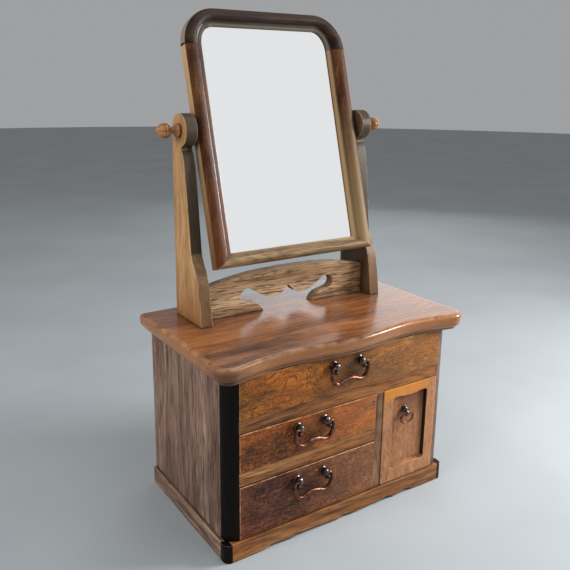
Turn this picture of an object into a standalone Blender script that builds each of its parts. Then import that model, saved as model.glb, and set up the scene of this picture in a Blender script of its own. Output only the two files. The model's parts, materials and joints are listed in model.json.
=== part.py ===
"""Japanese dressing chest with drawers and a tilting mirror (kyodai).

Metres, +Z up. The chest stands on z = 0, its front looks along -Y, and the origin is the
middle of the whole object's footprint. Every solid keeps a gap of FIT to the next one.
"""

import math

import bmesh
import bpy
from mathutils import Matrix, Vector

MM = 0.001
FIT = 0.3 * MM

# Case: the box that carries everything.
FRONT = -113 * MM            # plane of the rails, posts and stile
CASE_DEPTH = 240 * MM
CASE_HALF_WIDTH = 202 * MM
PLINTH_HEIGHT = 28 * MM
PLINTH_PROJECTION = 4.5 * MM
PLINTH_THICKNESS = 16 * MM
PLINTH_SIDE = 20 * MM
PLINTH_CORNER = 9 * MM
CORNER_BLOCK = 10.5 * MM     # visible width of a dark plinth block on the front
# Scalloped lower edge of the front plinth: distances from its middle and heights, in mm.
SCALLOPS = ((0, 5.5), (5, 4.6), (11, 2.2), (13, 0.9), (30, 2.2), (60, 4.4), (84, 5.4), (92, 4.6),
            (97, 2.4), (100, 1.6), (112, 3.6), (126, 5.6), (133, 5.0), (138, 3.2), (146, 1.4),
            (156, 0.0))
CASE_TOP = 270 * MM
SIDE_THICKNESS = 19 * MM     # also the radius of the rounded front posts
BACK_THICKNESS = 8 * MM
BOTTOM_THICKNESS = 10 * MM
RAIL_DEPTH = 20 * MM
SHELF_THICKNESS = 12 * MM

# Top board.
BOARD_THICKNESS = 25 * MM
BOARD_HALF_WIDTH = 220 * MM
BOARD_CORNER = 22 * MM
BOARD_CORNER_LEAD = 12.7     # degrees by which the front already leans outwards at the corner
BOARD_TOP = CASE_TOP + BOARD_THICKNESS

# Front layout: heights of the rails and the place of the upright stile.
UPPER_RAIL = (189.3 * MM, 208.7 * MM)
MIDDLE_RAIL = (110.5 * MM, 130.7 * MM)
STILE = (57.2 * MM, 71.6 * MM)
OPENING_HALF_WIDTH = CASE_HALF_WIDTH - SIDE_THICKNESS

# Drawers.
PROUD = 1.5 * MM             # how far a drawer front stands in front of the rails
FRONT_THICKNESS = 16 * MM
FRONT_CHAMFER = 0.8 * MM
DRAWER_CLEARANCE = 0.5 * MM
DRAWER_LENGTH = 222 * MM
BOX_SIDE = 8 * MM
BOX_BOTTOM = 5 * MM
BOX_LOWER_THAN_FRONT = 8 * MM

# Carved field of the tall drawer's front.
FIELD_MIDDLE_Z = 111.5 * MM
FIELD_HALF_WIDTH = 36 * MM
FIELD_HEIGHT = 123 * MM
FIELD_DEPTH = 7 * MM
FIELD_CORNER = 5 * MM
FIELD_BOW = 2.6 * MM         # how far its upper and lower edges bow inwards

# Bail pulls: where the middle of each sits on the front, then its sizes.
PULLS = ((-4.5 * MM, 254.1 * MM), (-65.5 * MM, 175.6 * MM), (-65.5 * MM, 93.1 * MM))
BOSS_SPACING = 46 * MM
BOSS_RADIUS = 6.3 * MM
BOSS_STAND_OFF = 14 * MM
HINGE_STAND_OFF = 9.5 * MM   # from the drawer's face to the bail's hinge line
SHANK_RADIUS = 2.0 * MM
CLENCH = 2.4 * MM            # length of a shank's spread end inside the drawer
BAIL_RADIUS = 3.1 * MM
PIN_RADIUS = 1.8 * MM

# Ring pull: where its eye is on the front, then its sizes.
RING_EYE = (121.0 * MM, 141.5 * MM)
RING_STAND_OFF = 8 * MM      # from the field's floor to the eye
RING_REACH = (12.5 * MM, 8.4 * MM)
RING_RADIUS = 1.5 * MM
RING_SHANK_RADIUS = 1.6 * MM
RING_EYE_RADIUS = 2.6 * MM

# Stand: two uprights and the pierced stretcher between them.
UPRIGHT_OUTER = 169.2 * MM
UPRIGHT_THICKNESS = 18.5 * MM
PIVOT_Y = FRONT + 191.5 * MM
PIVOT_Z = 576 * MM
HEAD_RADIUS = 24 * MM
TENON = (10 * MM, 56 * MM, 14 * MM)
TENON_ROOT = 5 * MM          # how far the tenon's block runs up into the upright
FOOT_MIDDLE = FRONT + 171 * MM
STRETCHER_FRONT = FRONT + 157 * MM
STRETCHER_THICKNESS = 16 * MM

# Mirror, in its own upright frame about the pivot; it leans back at rest.
TILT = math.radians(-15.7)
MIRROR_HALF_WIDTH = 145 * MM
MIRROR_TOP = 177 * MM
MIRROR_BOTTOM = -205 * MM
MIRROR_CORNER = 55 * MM
SIDE_BAR = 31 * MM
TOP_BAR = 24.5 * MM
BOTTOM_BAR = 21 * MM
CORNER_JOINT = 125 * MM      # height where the rounded top piece meets the stiles
GLASS_THICKNESS = 2.9 * MM
KNOB_SHANK = 4 * MM
THROUGH = 60 * MM            # length of a cutter that passes right through a piece


# ---------------------------------------------------------------- tools and materials

def clear_scene():
    for old in list(bpy.data.objects):
        bpy.data.objects.remove(old, do_unlink=True)


def finish(name, colour, roughness, metallic=0.0):
    """A Principled material."""
    material = bpy.data.materials.new(name)
    material.use_nodes = True
    shader = material.node_tree.nodes["Principled BSDF"]
    shader.inputs["Base Color"].default_value = (*colour, 1.0)
    shader.inputs["Roughness"].default_value = roughness
    shader.inputs["Metallic"].default_value = metallic
    return material


def add_object(name, mesh, material, place=(0, 0, 0), parent=None):
    """Puts a mesh in the scene at a place given in its parent's frame."""
    piece = bpy.data.objects.new(name, mesh)
    bpy.context.scene.collection.objects.link(piece)
    piece.parent = parent
    piece.location = place
    if material is not None:
        mesh.materials.append(material)
    return piece


def to_mesh(name, bm):
    bmesh.ops.recalc_face_normals(bm, faces=bm.faces)
    mesh = bpy.data.meshes.new(name)
    bm.to_mesh(mesh)
    bm.free()
    return mesh


def board(name, low, high, material, parent=None, chamfer=0.0):
    """A rectangular board between two corners given in the parent's frame."""
    low, high = Vector(low), Vector(high)
    bm = bmesh.new()
    bmesh.ops.create_cube(bm, size=1.0, matrix=Matrix.Diagonal((*(high - low), 1.0)))
    if chamfer:
        bmesh.ops.bevel(bm, geom=bm.edges[:], offset=chamfer, affect="EDGES", segments=1,
                        profile=0.5, material=-1)
    return add_object(name, to_mesh(name, bm), material, (low + high) / 2, parent)


def prism(name, outline, axis, depth, material, place=(0, 0, 0), parent=None):
    """An outline of (a, b) points extruded along an axis, starting at place."""
    across, up = {"X": (1, 2), "Y": (0, 2), "Z": (0, 1)}[axis]
    step = Vector((0, 0, 0))
    step["XYZ".index(axis)] = depth
    bm = bmesh.new()
    corners = []
    for a, b in outline:
        point = Vector((0, 0, 0))
        point[across], point[up] = a, b
        corners.append(bm.verts.new(point))
    face = bm.faces.new(corners)
    grown = bmesh.ops.extrude_face_region(bm, geom=[face])["geom"]
    moved = [v for v in grown if isinstance(v, bmesh.types.BMVert)]
    bmesh.ops.translate(bm, verts=moved, vec=step)
    return add_object(name, to_mesh(name, bm), material, place, parent)


def turned(name, profile, axis, steps, material, place=(0, 0, 0), parent=None):
    """A profile of (distance along the axis, radius) points, turned about the axis."""
    angle, about = {"X": (90, "Y"), "-X": (-90, "Y"), "-Y": (90, "X")}[axis]
    turn = Matrix.Rotation(math.radians(angle), 3, about)
    bm = bmesh.new()
    points = [bm.verts.new((max(radius, 0.0), 0, along)) for along, radius in profile]
    edges = [bm.edges.new(pair) for pair in zip(points, points[1:])]
    bmesh.ops.spin(bm, geom=points + edges, cent=(0, 0, 0), axis=(0, 0, 1),
                   angle=math.tau, steps=steps, use_merge=True)
    bmesh.ops.remove_doubles(bm, verts=bm.verts, dist=1e-6)
    bmesh.ops.transform(bm, matrix=turn.to_4x4(), verts=bm.verts)
    piece = add_object(name, to_mesh(name, bm), material, place, parent)
    piece.data.shade_smooth()
    piece.data.set_sharp_from_angle(angle=math.radians(40))
    return piece


def cylinder_cutter(name, radius, depth, axis, place, parent=None, steps=12):
    """A hidden round cutter centred at place."""
    half = depth / 2
    profile = [(-half, 0), (-half, radius), (half, radius), (half, 0)]
    return hide(turned(name, profile, axis, steps, None, place, parent))


def hide(cutter):
    cutter.hide_render = True
    cutter.display_type = "WIRE"
    return cutter


def cut(piece, cutter):
    modifier = piece.modifiers.new("cut_" + cutter.name, "BOOLEAN")
    modifier.operation = "DIFFERENCE"
    modifier.object = cutter


def anchor(name, place, parent=None, lean=0.0):
    """An empty on a joint's axis, which the moving pieces hang from."""
    empty = bpy.data.objects.new(name, None)
    bpy.context.scene.collection.objects.link(empty)
    empty.parent = parent
    empty.location = place
    empty.rotation_euler = (lean, 0, 0)
    return empty


def smooth_through(points, steps):
    """A Catmull-Rom curve through the points, with so many steps in each span."""
    points = [Vector(p) for p in points]
    ends = [2 * points[0] - points[1], *points, 2 * points[-1] - points[-2]]
    curve = []
    for a, b, c, d in zip(ends, ends[1:], ends[2:], ends[3:]):
        for i in range(steps):
            t = i / steps
            curve.append(0.5 * (2 * b + (c - a) * t + (2 * a - 5 * b + 4 * c - d) * t ** 2
                                + (3 * b - 3 * c + d - a) * t ** 3))
    return curve + [points[-1]]


def skin(bm, rings):
    """Joins rings of vertices one to the next and closes both ends."""
    count = len(rings[0])
    for a, b in zip(rings, rings[1:]):
        for i in range(count):
            j = (i + 1) % count
            bm.faces.new((a[i], a[j], b[j], b[i]))
    bm.faces.new(rings[0])
    bm.faces.new(list(reversed(rings[-1])))


def arc(centre, radius, start, end, steps):
    """Points on an arc, angles in degrees."""
    angles = [math.radians(start + (end - start) * i / steps) for i in range(steps + 1)]
    return [(centre[0] + radius * math.cos(a), centre[1] + radius * math.sin(a)) for a in angles]


clear_scene()
TOP_WOOD = finish("top_wood", (0.16, 0.060, 0.030), 0.22)
SIDE_WOOD = finish("side_wood", (0.17, 0.12, 0.095), 0.45)
POST_WOOD = finish("post_wood", (0.012, 0.009, 0.009), 0.30)
RAIL_WOOD = finish("rail_wood", (0.25, 0.125, 0.055), 0.38)
BURL_WOOD = finish("burl_wood", (0.22, 0.085, 0.030), 0.30)
FIELD_WOOD = finish("field_wood", (0.24, 0.105, 0.045), 0.35)
STAND_WOOD = finish("stand_wood", (0.24, 0.14, 0.075), 0.42)
STRETCHER_WOOD = finish("stretcher_wood", (0.36, 0.22, 0.12), 0.45)
MIRROR_WOOD = finish("mirror_wood", (0.10, 0.040, 0.022), 0.28)
INNER_WOOD = finish("inner_wood", (0.45, 0.32, 0.19), 0.60)
BRONZE = finish("bronze", (0.045, 0.038, 0.035), 0.30, 1.0)
COPPER = finish("copper", (0.33, 0.15, 0.10), 0.32, 1.0)
KNOB_WOOD = finish("knob_wood", (0.28, 0.12, 0.07), 0.20)
GLASS = finish("mirror_glass", (0.90, 0.91, 0.92), 0.02, 1.0)


# ---------------------------------------------------------------- case

def make_plinth():
    outer = CASE_HALF_WIDTH + PLINTH_PROJECTION
    front, back = FRONT - PLINTH_PROJECTION, FRONT + CASE_DEPTH
    block_end = outer - CORNER_BLOCK
    block_back = front + PLINTH_THICKNESS
    side_inner = outer - PLINTH_SIDE
    floor = PLINTH_HEIGHT - BOTTOM_THICKNESS
    half = [(x * MM, z * MM) for x, z in SCALLOPS]
    lower = [(-x, z) for x, z in reversed(half[1:])] + half
    end = block_end - FIT
    outline = [(-end, 0), *lower, (end, 0), (end, PLINTH_HEIGHT), (-end, PLINTH_HEIGHT)]
    prism("plinth_front", outline, "Y", PLINTH_THICKNESS, RAIL_WOOD, (0, front, 0))
    for side, label in ((-1, "left"), (1, "right")):
        radius = PLINTH_CORNER
        corner = arc((outer - radius, front + radius), radius, -90, 0, 6)
        shape = [(block_end, front), *corner, (outer, block_back), (block_end, block_back)]
        prism("plinth_block_" + label, [(side * x, y) for x, y in shape], "Z", PLINTH_HEIGHT,
              POST_WOOD)
        low = (min(side * side_inner, side * outer), block_back + FIT, 0)
        high = (max(side * side_inner, side * outer), back, PLINTH_HEIGHT)
        board("plinth_side_" + label, low, high, SIDE_WOOD)
    wide = side_inner - FIT
    board("plinth_back", (-wide, back - PLINTH_THICKNESS, 0), (wide, back, floor - FIT), SIDE_WOOD)
    board("bottom_board", (-wide, block_back + FIT, floor), (wide, back, PLINTH_HEIGHT), INNER_WOOD)


def make_case():
    base, top = PLINTH_HEIGHT + FIT, CASE_TOP - FIT
    for side, label in ((-1, "left"), (1, "right")):
        inner, outer = OPENING_HALF_WIDTH, CASE_HALF_WIDTH
        low = (min(side * inner, side * outer), FRONT + SIDE_THICKNESS + FIT, base)
        high = (max(side * inner, side * outer), FRONT + CASE_DEPTH, top)
        board("side_panel_" + label, low, high, SIDE_WOOD)
        centre = (inner, SIDE_THICKNESS)
        quarter = [(centre[0], centre[1]), *arc(centre, SIDE_THICKNESS, -90, 0, 8)]
        prism("corner_post_" + label, [(side * x, y) for x, y in quarter], "Z", top - base,
              POST_WOOD, (0, FRONT, base))
    wide = OPENING_HALF_WIDTH - FIT
    back = FRONT + CASE_DEPTH - BACK_THICKNESS
    board("back_panel", (-wide, back, base), (wide, back + BACK_THICKNESS, top), INNER_WOOD)
    shelf_front = FRONT + RAIL_DEPTH + FIT
    tiers = (("upper", UPPER_RAIL, wide), ("middle", MIDDLE_RAIL, STILE[0] - FIT))
    for label, (low, high), end in tiers:
        board(label + "_rail", (-wide, FRONT, low), (end, FRONT + RAIL_DEPTH, high), RAIL_WOOD)
        board(label + "_shelf", (-wide, shelf_front, high - SHELF_THICKNESS),
              (end, back - FIT, high), INNER_WOOD)
    board("divider", (STILE[0], FRONT, base), (STILE[1], back - FIT, UPPER_RAIL[0] - FIT), RAIL_WOOD)


def board_front(x):
    """The serpentine front edge: full at the middle, hollow beside it, fullest at the corners."""
    wave = 5.5 * math.cos(math.tau * x / (230 * MM))
    return FRONT - (13 + wave + 5.5 * (x / (200 * MM)) ** 4) * MM


def board_outline(inset):
    """The top board's outline in plan, moved inwards."""
    edge, back = BOARD_HALF_WIDTH - inset, FRONT + CASE_DEPTH
    radius = BOARD_CORNER - inset
    start = -90 - BOARD_CORNER_LEAD
    centre_x = edge - radius
    turn = centre_x + radius * math.cos(math.radians(start))
    steps = 24
    front = [-turn + 2 * turn * i / steps for i in range(steps + 1)]
    front = [(x, board_front(x) + inset) for x in front]
    centre_y = front[-1][1] - radius * math.sin(math.radians(start))
    right = arc((centre_x, centre_y), radius, start, 0, 7)[1:]
    left = [(-x, y) for x, y in reversed(right)]
    return [*left, *front, *right, (edge, back), (-edge, back)]


def tenon_box(side, slack):
    """Corners of an upright's tenon, or with some slack of the mortise that takes it."""
    middle = side * (UPRIGHT_OUTER - UPRIGHT_THICKNESS / 2)
    half_x, half_y = TENON[0] / 2 + slack, TENON[1] / 2 + slack
    low = Vector((middle - half_x, FOOT_MIDDLE - half_y, BOARD_TOP - TENON[2] - slack))
    return low, Vector((middle + half_x, FOOT_MIDDLE + half_y, BOARD_TOP + TENON_ROOT))


def make_top_board():
    """A board whose edge is rounded above and worked away below."""
    profile = ((6.0, 0.0), (2.2, 0.9), (0.5, 3.0), (0.0, 6.0), (0.0, 14.0), (1.5, 18.0),
               (5.5, 21.5), (8.0, 22.5), (8.0, 25.0))
    bm = bmesh.new()
    rings = []
    for inset, drop in profile:
        height = BOARD_TOP - drop * MM
        rings.append([bm.verts.new((x, y, height)) for x, y in board_outline(inset * MM)])
    skin(bm, rings)
    piece = add_object("top_board", to_mesh("top_board", bm), TOP_WOOD)
    for side, label in ((-1, "left"), (1, "right")):
        low, high = tenon_box(side, FIT)
        high.z = BOARD_TOP + TENON[2]
        cut(piece, hide(board("mortise_" + label, low, high, None)))


# ---------------------------------------------------------------- stand

def upright_outline():
    """Side view of an upright, as (y, z): a round head on a shaft that widens to its foot."""
    head = arc((PIVOT_Y, PIVOT_Z), HEAD_RADIUS, 0, 256, 20)
    shaft = [(186.5, 549), (180.5, 538), (175.5, 515), (169.5, 470), (164, 421), (161.5, 401),
             (156, 387), (147.5, 374), (141.5, 360), (137.5, 342), (134.5, 325), (130.5, 295.3)]
    points = smooth_through([(y, z, 0) for y, z in shaft], 2)
    front = [(FRONT + p.x * MM, p.y * MM) for p in points]
    base = BOARD_TOP + FIT
    front[-1] = (front[-1][0], base)
    return head + front + [(PIVOT_Y + HEAD_RADIUS, base)]


def make_upright(side, label):
    start = side * UPRIGHT_OUTER - (UPRIGHT_THICKNESS if side > 0 else 0)
    upright = prism("upright_" + label, upright_outline(), "X", UPRIGHT_THICKNESS, STAND_WOOD,
                    (start, 0, 0))
    low, high = tenon_box(side, 0.0)
    union = upright.modifiers.new("tenon", "BOOLEAN")
    union.operation = "UNION"
    union.object = hide(board("tenon_" + label, low, high, None))
    place = ((low.x + high.x) / 2, PIVOT_Y, PIVOT_Z)
    cut(upright, cylinder_cutter("upright_hole_" + label, KNOB_SHANK + FIT, THROUGH, "X", place))


def stretcher_top(x):
    """Height of the stretcher's low arched top."""
    half = UPRIGHT_OUTER - UPRIGHT_THICKNESS
    return (345 + 15.5 * math.cos(math.pi / 2 * (abs(x) / half) ** 1.35)) * MM


def make_stretcher():
    """A board with an arched top and a cloud-shaped opening along its foot."""
    half = UPRIGHT_OUTER - UPRIGHT_THICKNESS - FIT
    base = BOARD_TOP + FIT
    lobe = [(0, 329.5), (6, 324), (13, 317.5), (22, 314.8), (33, 315.2), (45, 319), (57, 325.5),
            (67, 332), (77, 335), (85.5, 330), (88.5, 322), (84, 314.5), (73, 311), (59, 307.5),
            (51, 302)]
    curve = smooth_through([(x, z, 0) for x, z in lobe], 2)
    opening = [(p.x * MM, p.y * MM) for p in curve] + [(46.5 * MM, base)]
    steps = 16
    spread = [half - 2 * half * i / steps for i in range(steps + 1)]
    top = [(x, stretcher_top(x)) for x in spread]
    left = [(-x, z) for x, z in reversed(opening[1:])]
    outline = [(half, base), *top, (-half, base), *left, *opening]
    prism("stretcher", outline, "Y", STRETCHER_THICKNESS, STRETCHER_WOOD, (0, STRETCHER_FRONT, 0))


def make_knob(side, label):
    """A turned knob whose shank goes through the upright into the mirror frame."""
    profile = [(-43, 0), (-43, 4), (0.4, 4), (0.4, 8.5), (1.2, 10.4), (4, 10.6), (5.6, 9.2),
               (7, 6.2), (9.5, 4.2), (12.5, 4.2), (14.8, 6.2), (16, 8.6), (19, 10.4), (23, 11),
               (26, 10.6), (29.5, 8.8), (32.2, 5.8), (33.6, 3.0), (34.8, 2.6), (36, 0)]
    anchored = anchor("knob_axis_" + label, (side * UPRIGHT_OUTER, PIVOT_Y, PIVOT_Z))
    profile = [(along * MM, radius * MM) for along, radius in profile]
    outward = "X" if side > 0 else "-X"
    turned("knob_" + label, profile, outward, 16, KNOB_WOOD, (0, 0, 0), anchored)


# ---------------------------------------------------------------- mirror

def ring_point(place, inset):
    """A point of the mirror frame at a place on its outline, moved inwards by inset.

    place is ("side", s, h), ("corner", s, angle), ("top", x) or ("bottom", x).
    """
    share = inset / SIDE_BAR
    half = MIRROR_HALF_WIDTH - inset
    top = MIRROR_TOP - share * TOP_BAR
    bottom = MIRROR_BOTTOM + share * BOTTOM_BAR
    radius = MIRROR_CORNER - inset
    if place[0] == "side":
        return place[1] * half, place[2]
    if place[0] == "corner":
        angle = math.radians(place[2])
        rise = radius + (SIDE_BAR - TOP_BAR) * share
        across = half - radius + radius * math.cos(angle)
        return place[1] * across, top - rise + rise * math.sin(angle)
    if place[0] == "top":
        return place[1] * (half - radius), top
    return place[1] * half + place[2], bottom


def make_bar(name, places, parent):
    """One member of the mirror frame: the moulding carried along its places."""
    section = [(0, -5), (0, 9), (1.6, 11.6), (5, 13.1), (10, 13.6), (15, 12.6), (19, 10.2),
               (21.5, 7.2), (22, 5.6), (27.5, 4.2), (31, 1.4), (31, -0.5), (25, -0.5), (25, -5)]
    bm = bmesh.new()
    rings = []
    for place in places:
        ring = []
        for inset, lift in section:
            x, h = ring_point(place, inset * MM)
            ring.append(bm.verts.new((x, -lift * MM, h)))
        rings.append(ring)
    skin(bm, rings)
    return add_object(name, to_mesh(name, bm), MIRROR_WOOD, (0, 0, 0), parent)


def make_mirror():
    axis = anchor("mirror_axis", (0, PIVOT_Y, PIVOT_Z), None, TILT)
    angles = [90 - 11.25 * i for i in range(1, 9)]
    right = [("corner", 1, a) for a in angles] + [("side", 1, CORNER_JOINT + FIT)]
    left = [("side", -1, CORNER_JOINT + FIT)] + [("corner", -1, a) for a in reversed(angles)]
    make_bar("mirror_top_rail", [*left, ("top", -1), ("top", 1), *right], axis)
    for side, label in ((-1, "left"), (1, "right")):
        places = [("side", side, CORNER_JOINT - FIT), ("bottom", side, 0.0)]
        stile = make_bar("mirror_stile_" + label, places, axis)
        middle = side * (MIRROR_HALF_WIDTH - 5 * MM)
        cut(stile, cylinder_cutter("stile_hole_" + label, KNOB_SHANK + FIT, 40 * MM, "X",
                                   (middle, 0, 0), axis))
    gap = 2 * FIT
    make_bar("mirror_bottom_rail", [("bottom", 1, -gap), ("bottom", -1, gap)], axis)
    for name, inset, thickness, behind, material in (
            ("mirror_glass", 25.4 * MM, GLASS_THICKNESS, 0.8 * MM, GLASS),
            ("mirror_back", 6 * MM, 4.5 * MM, 5.3 * MM, INNER_WOOD)):
        prism(name, mirror_panel(inset), "Y", thickness, material, (0, behind, 0), axis)


def mirror_panel(inset):
    """Outline of a flat panel that lies inside the mirror frame's outline."""
    angles = [90 - 15 * i for i in range(7)]
    right = [ring_point(("corner", 1, a), inset) for a in angles]
    left = [(-x, h) for x, h in reversed(right)]
    lower = ring_point(("bottom", 1, 0.0), inset)
    return [*left, *right, lower, (-lower[0], lower[1])]


# ---------------------------------------------------------------- drawers and pulls

def make_drawer(label, x_range, z_range, material):
    """A drawer of five boards; returns its front and the empty that it slides with."""
    x0, x1 = x_range
    z0, z1 = z_range
    anchored = anchor("drawer_slide_" + label, ((x0 + x1) / 2, FRONT - PROUD, (z0 + z1) / 2))
    half_wide, low = (x1 - x0) / 2, (z0 - z1) / 2
    front = board("drawer_front_" + label, (-half_wide, 0, low), (half_wide, FRONT_THICKNESS, -low),
                  material, anchored, FRONT_CHAMFER)
    half = half_wide - DRAWER_CLEARANCE
    top = -low - BOX_LOWER_THAN_FRONT
    y0, y1 = FRONT_THICKNESS + FIT, DRAWER_LENGTH
    for side, name in ((-1, "left"), (1, "right")):
        a, b = sorted((side * half, side * (half - BOX_SIDE)))
        board("drawer_side_" + label + "_" + name, (a, y0, low), (b, y1, top), INNER_WOOD, anchored)
    inner, back = half - BOX_SIDE - FIT, y1 - BOX_SIDE
    board("drawer_back_" + label, (-inner, back, low), (inner, y1, top), INNER_WOOD, anchored)
    board("drawer_bottom_" + label, (-inner, y0, low), (inner, back - FIT, low + BOX_BOTTOM),
          INNER_WOOD, anchored)
    return front, anchored


def clenched(inside, shank_radius):
    """Start of a boss's profile: the spread end inside the drawer, then the shank."""
    return [(-inside - CLENCH, 0), (-inside - CLENCH + 0.4 * MM, 3.2 * MM), (-inside - FIT, 3.2 * MM),
            (-inside - FIT, shank_radius), (FIT, shank_radius)]


def make_boss(name, place, hole_side, front, parent):
    """A domed boss whose shank goes through the drawer front and is clenched inside."""
    # Distances from the drawer's face in mm, and radii as shares of the boss's own.
    dome = ((FIT / MM, 1.1), (1.4, 1.1), (2.6, 0.84), (5.0, 0.80), (7.5, 0.96), (10, 1.0),
            (12.2, 0.78), (13.5, 0.42), (BOSS_STAND_OFF / MM, 0))
    profile = clenched(FRONT_THICKNESS, SHANK_RADIUS)
    profile += [(along * MM, share * BOSS_RADIUS) for along, share in dome]
    boss = turned(name, profile, "-Y", 12, BRONZE, place, parent)
    hole = (name + "_front_hole", SHANK_RADIUS + FIT, THROUGH)
    cut(front, cylinder_cutter(*hole, "-Y", place, parent, 10))
    depth = 2 * (BOSS_RADIUS - 2.2 * MM)
    eye = (place[0] + hole_side * BOSS_RADIUS, place[1] - HINGE_STAND_OFF, place[2])
    cut(boss, cylinder_cutter(name + "_eye", PIN_RADIUS + FIT, depth, "X", eye, parent, 10))


def bent_wire(name, radius, spots, thickness, closed, parent, place):
    """A round wire along some spots, with its thickness at each as a share of the radius."""
    curve = bpy.data.curves.new(name, "CURVE")
    curve.dimensions = "3D"
    curve.bevel_depth = radius
    curve.bevel_resolution = 2
    curve.use_fill_caps = not closed
    spline = curve.splines.new("POLY")
    spline.points.add(len(spots) - 1)
    for point, spot, share in zip(spline.points, spots, thickness):
        point.co = (*spot, 1.0)
        point.radius = share
    spline.use_cyclic_u = closed
    curve.materials.append(COPPER)
    piece = bpy.data.objects.new(name, curve)
    bpy.context.scene.collection.objects.link(piece)
    piece.parent = parent
    piece.location = place


def make_bail(name, parent, place):
    """A bracken-shaped bail: two pins, two drooping shoulders and a rise in the middle."""
    side = (BOSS_SPACING / 2 + BOSS_RADIUS) / MM
    right = [(side - 3.2, 0), (side + 0.4, 0), (side + 2.6, -1.8), (side + 3.3, -8),
             (side + 2.9, -14), (29.0, -21), (23.5, -25.3), (17.0, -25.4), (8.5, -22.4), (0, -20.8)]
    left = [(-x, z) for x, z in reversed(right[:-1])]
    route = smooth_through([(x * MM, 0, z * MM) for x, z in [*right, *left]], 2)
    thin = PIN_RADIUS / BAIL_RADIUS
    thickness = []
    for spot in route:
        swell = 1.0 + 0.12 * math.exp(-(abs(spot.x) / (9 * MM)) ** 2)
        taper = thin + (1 - thin) * -spot.z / (9 * MM)
        thickness.append(thin if spot.z > -0.4 * MM else min(swell, taper))
    bent_wire(name, BAIL_RADIUS, route, thickness, False, parent, place)


def make_pull(label, front, anchored, middle, height):
    """Two bosses and a bail, with the bail's origin on its hinge line."""
    x, z = middle - anchored.location.x, height - anchored.location.z
    for side, name in ((-1, "left"), (1, "right")):
        place = (x + side * BOSS_SPACING / 2, 0, z)
        make_boss("boss_" + label + "_" + name, place, side, front, anchored)
    make_bail("bail_" + label, anchored, (x, -HINGE_STAND_OFF, z))


def field_outline():
    """The carved field: round corners, its upper and lower edges bowed inwards."""
    half, tall, radius = FIELD_HALF_WIDTH, FIELD_HEIGHT / 2, FIELD_CORNER
    corner = arc((half - radius, tall - radius), radius, 0, 90, 4)
    steps = 8
    inner = [(half - radius) * (1 - i / steps) for i in range(1, steps)]
    sag = [FIELD_BOW * math.sin(math.pi / 2 * (1 - x / (half - radius))) ** 2 for x in inner]
    bow = [(x, tall - drop) for x, drop in zip(inner, sag)]
    quarter = corner + bow + [(0, tall - FIELD_BOW)]
    upper = quarter + [(-x, z) for x, z in reversed(quarter[:-1])]
    lower = [(-x, -z) for x, z in upper]
    return upper + lower


def make_tall_drawer(x_range, z_range):
    front, anchored = make_drawer("tall", x_range, z_range, FIELD_WOOD)
    middle, ahead = FIELD_MIDDLE_Z - anchored.location.z, 5 * MM
    cutter = prism("field_cutter", field_outline(), "Y", FIELD_DEPTH + ahead, None,
                   (0, -ahead, middle), anchored)
    cut(front, hide(cutter))
    make_ring_pull(front, anchored)


def make_ring_pull(front, anchored):
    """A small boss in the carved field with a ring hanging in its eye."""
    x, z = RING_EYE[0] - anchored.location.x, RING_EYE[1] - anchored.location.z
    seat = (x, FIELD_DEPTH, z)
    # Distances from the field's floor and radii, in mm.
    dome = ((FIT / MM, 5.6), (1.3, 5.6), (2.2, 3.8), (4.2, 3.6), (6.6, 4.6), (9.4, 4.6),
            (11.0, 3.4), (11.8, 0))
    profile = clenched(FRONT_THICKNESS - FIELD_DEPTH, RING_SHANK_RADIUS)
    profile += [(along * MM, radius * MM) for along, radius in dome]
    boss = turned("boss_tall", profile, "-Y", 12, BRONZE, seat, anchored)
    hole = ("boss_tall_front_hole", RING_SHANK_RADIUS + FIT, THROUGH)
    cut(front, cylinder_cutter(*hole, "-Y", seat, anchored, 10))
    eye = (x, FIELD_DEPTH - RING_STAND_OFF, z)
    cut(boss, cylinder_cutter("boss_tall_eye", RING_EYE_RADIUS, 20 * MM, "X", eye, anchored, 10))
    steps = 24
    wide, tall = RING_REACH
    angles = [math.tau * i / steps for i in range(steps)]
    spots = [(wide * math.sin(a), 0, tall * (math.cos(a) - 1)) for a in angles]
    bent_wire("ring_tall", RING_RADIUS, spots, [1.0] * steps, True, anchored, eye)


def make_drawers():
    gap = DRAWER_CLEARANCE
    left, right = -OPENING_HALF_WIDTH + gap, OPENING_HALF_WIDTH - gap
    bays = (("top", (left, right), (UPPER_RAIL[1] + gap, CASE_TOP - 2 * gap), PULLS[0]),
            ("middle", (left, STILE[0] - gap), (MIDDLE_RAIL[1] + gap, UPPER_RAIL[0] - gap), PULLS[1]),
            ("lower", (left, STILE[0] - gap), (PLINTH_HEIGHT + gap, MIDDLE_RAIL[0] - 2 * gap), PULLS[2]))
    for label, x_range, z_range, (middle, height) in bays:
        front, anchored = make_drawer(label, x_range, z_range, BURL_WOOD)
        make_pull(label, front, anchored, middle, height)
    make_tall_drawer((STILE[1] + gap, right), (PLINTH_HEIGHT + gap, UPPER_RAIL[0] - gap))


make_plinth()
make_case()
make_top_board()
make_upright(-1, "left")
make_upright(1, "right")
make_stretcher()
make_knob(-1, "left")
make_knob(1, "right")
make_mirror()
make_drawers()
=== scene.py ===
import json
import math

import bmesh
import bpy
from mathutils import Matrix, Vector


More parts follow.
